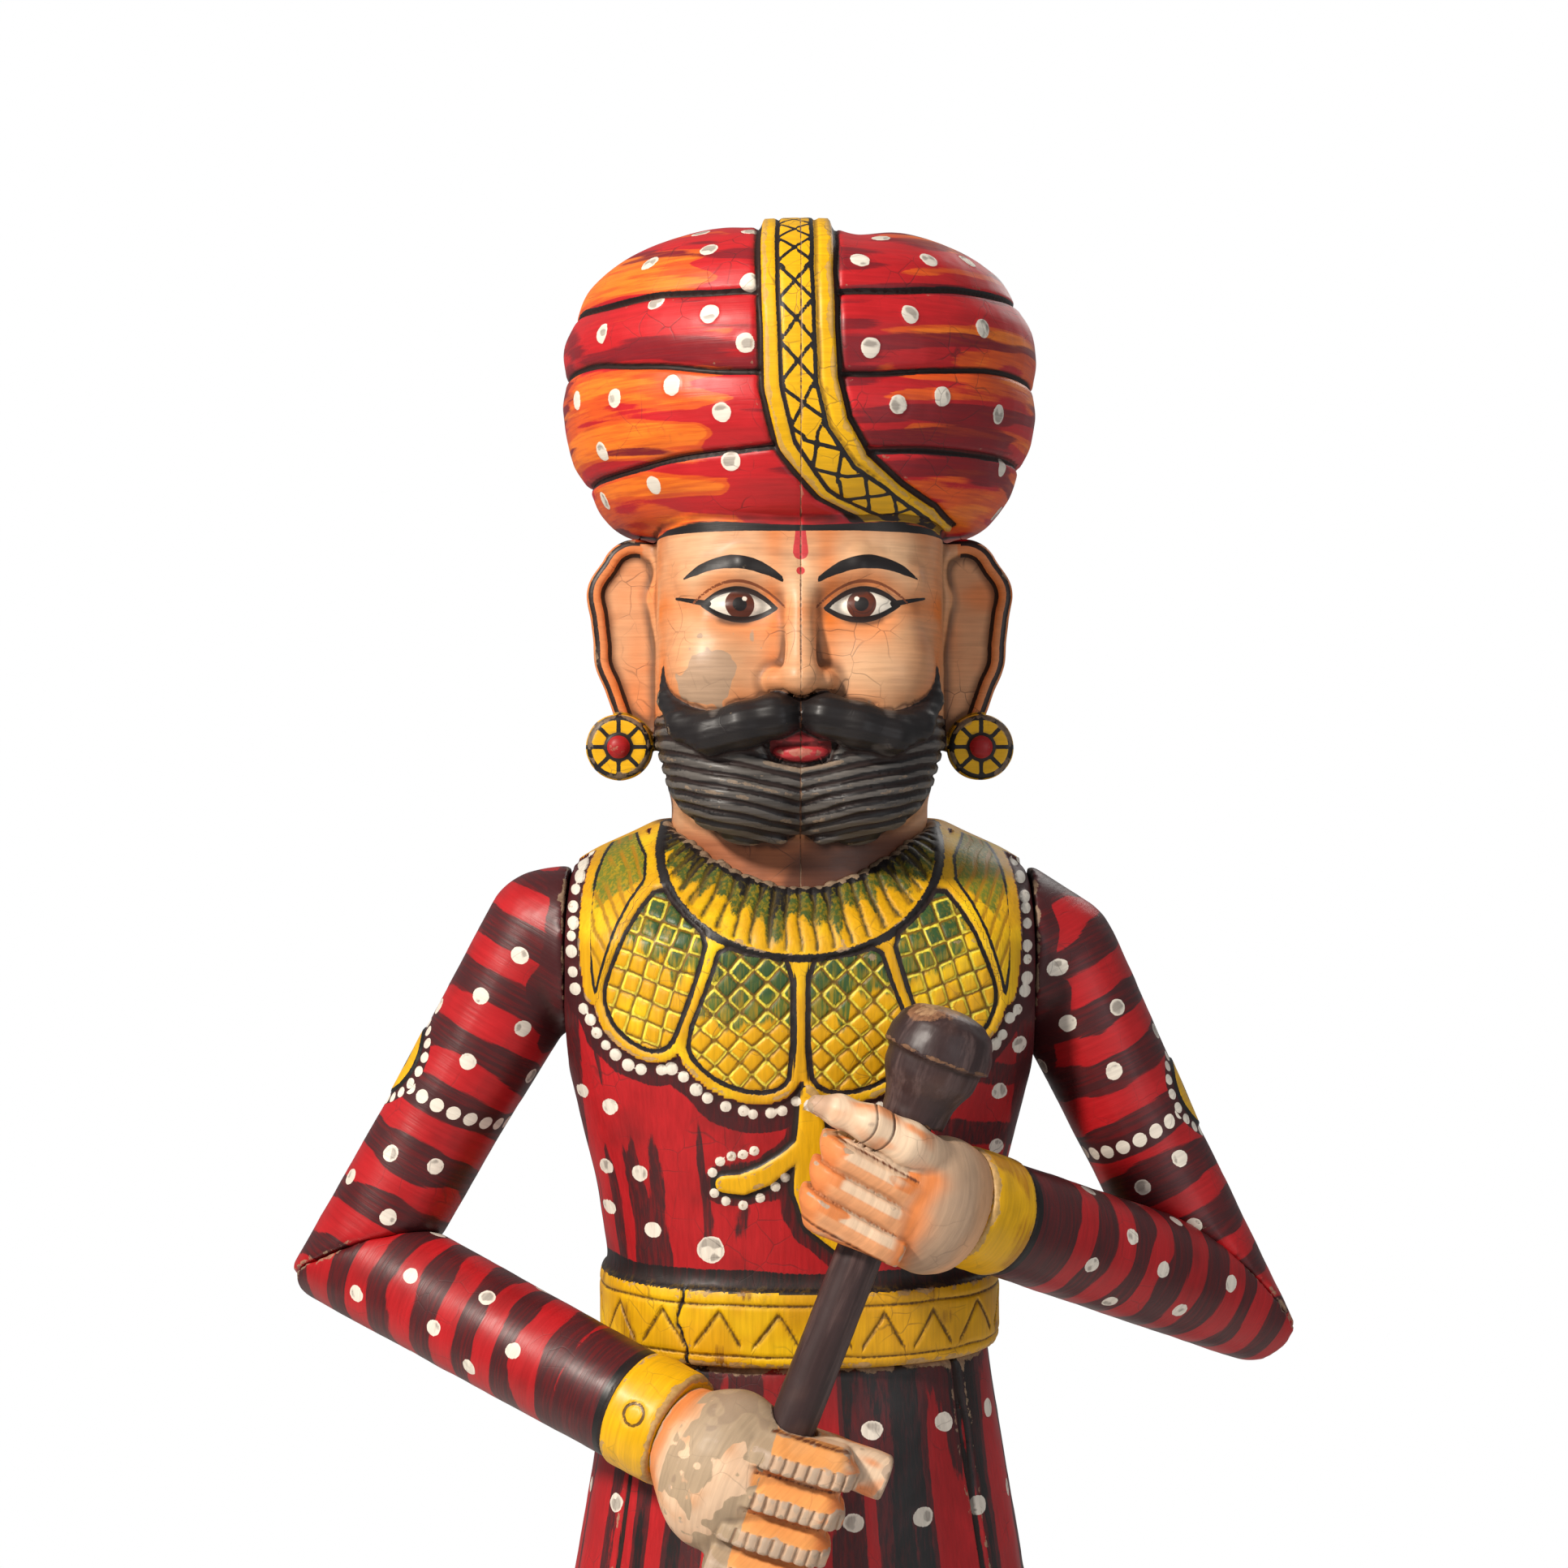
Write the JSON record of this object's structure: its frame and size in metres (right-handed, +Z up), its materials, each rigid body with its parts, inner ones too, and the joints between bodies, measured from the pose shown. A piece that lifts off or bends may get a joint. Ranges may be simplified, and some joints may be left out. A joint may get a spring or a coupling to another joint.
{
  "type": "carved wooden guard figure",
  "caption": "Standing carved and painted wooden figure of a turbaned, bearded guard on a plinth, holding a lift-out mace through both fists.",
  "frame": {"origin": "middle of the plinth's underside, where it rests on the floor", "axes": "+Z up the figure, -Y the way it faces, +X to its left hand side"},
  "size_m": [0.5546, 0.3089, 1.213],
  "materials": {
    "robe_paint": "brushed satin paint on carved wood, red with dark maroon bands and white dots",
    "head_paint": "satin paint on carved wood, flesh face, black beard, red and orange turban",
    "skin_paint": "worn flesh paint on carved wood, orange in the hollows",
    "leg_paint": "yellow paint on carved wood",
    "mace_paint": "dark brown satin paint, rubbed at the edges",
    "plinth_paint": "dark brown paint on a wooden board",
    "bare_wood": "bare turned dowel",
    "screw_steel": "plain wood screw"
  },
  "bodies": {
    "figure": {"plinth": "plinth_paint", "plinth_screws": "screw_steel", "right_leg": "leg_paint", "left_leg": "leg_paint", "leg_dowels": "bare_wood", "skirt": "robe_paint", "waist_dowels": "bare_wood", "torso": "robe_paint", "neck_dowel": "bare_wood", "head_right_half": "head_paint", "head_left_half": "head_paint", "head_pegs": "bare_wood", "shoulder_dowels": "bare_wood", "right_upper_arm": "robe_paint", "left_upper_arm": "robe_paint", "elbow_dowels": "bare_wood", "right_forearm": "robe_paint", "left_forearm": "robe_paint", "wrist_dowels": "bare_wood", "right_hand": "skin_paint", "left_hand": "skin_paint"},
    "mace": {"mace_shaft": "mace_paint", "mace_knob": "mace_paint"}
  },
  "joints": [
    {"name": "mace_lift", "type": "slide", "parent": "figure", "child": "mace", "axis": [0.3637, 0, 0.9315], "range_m": [0, 0.33]}
  ]
}
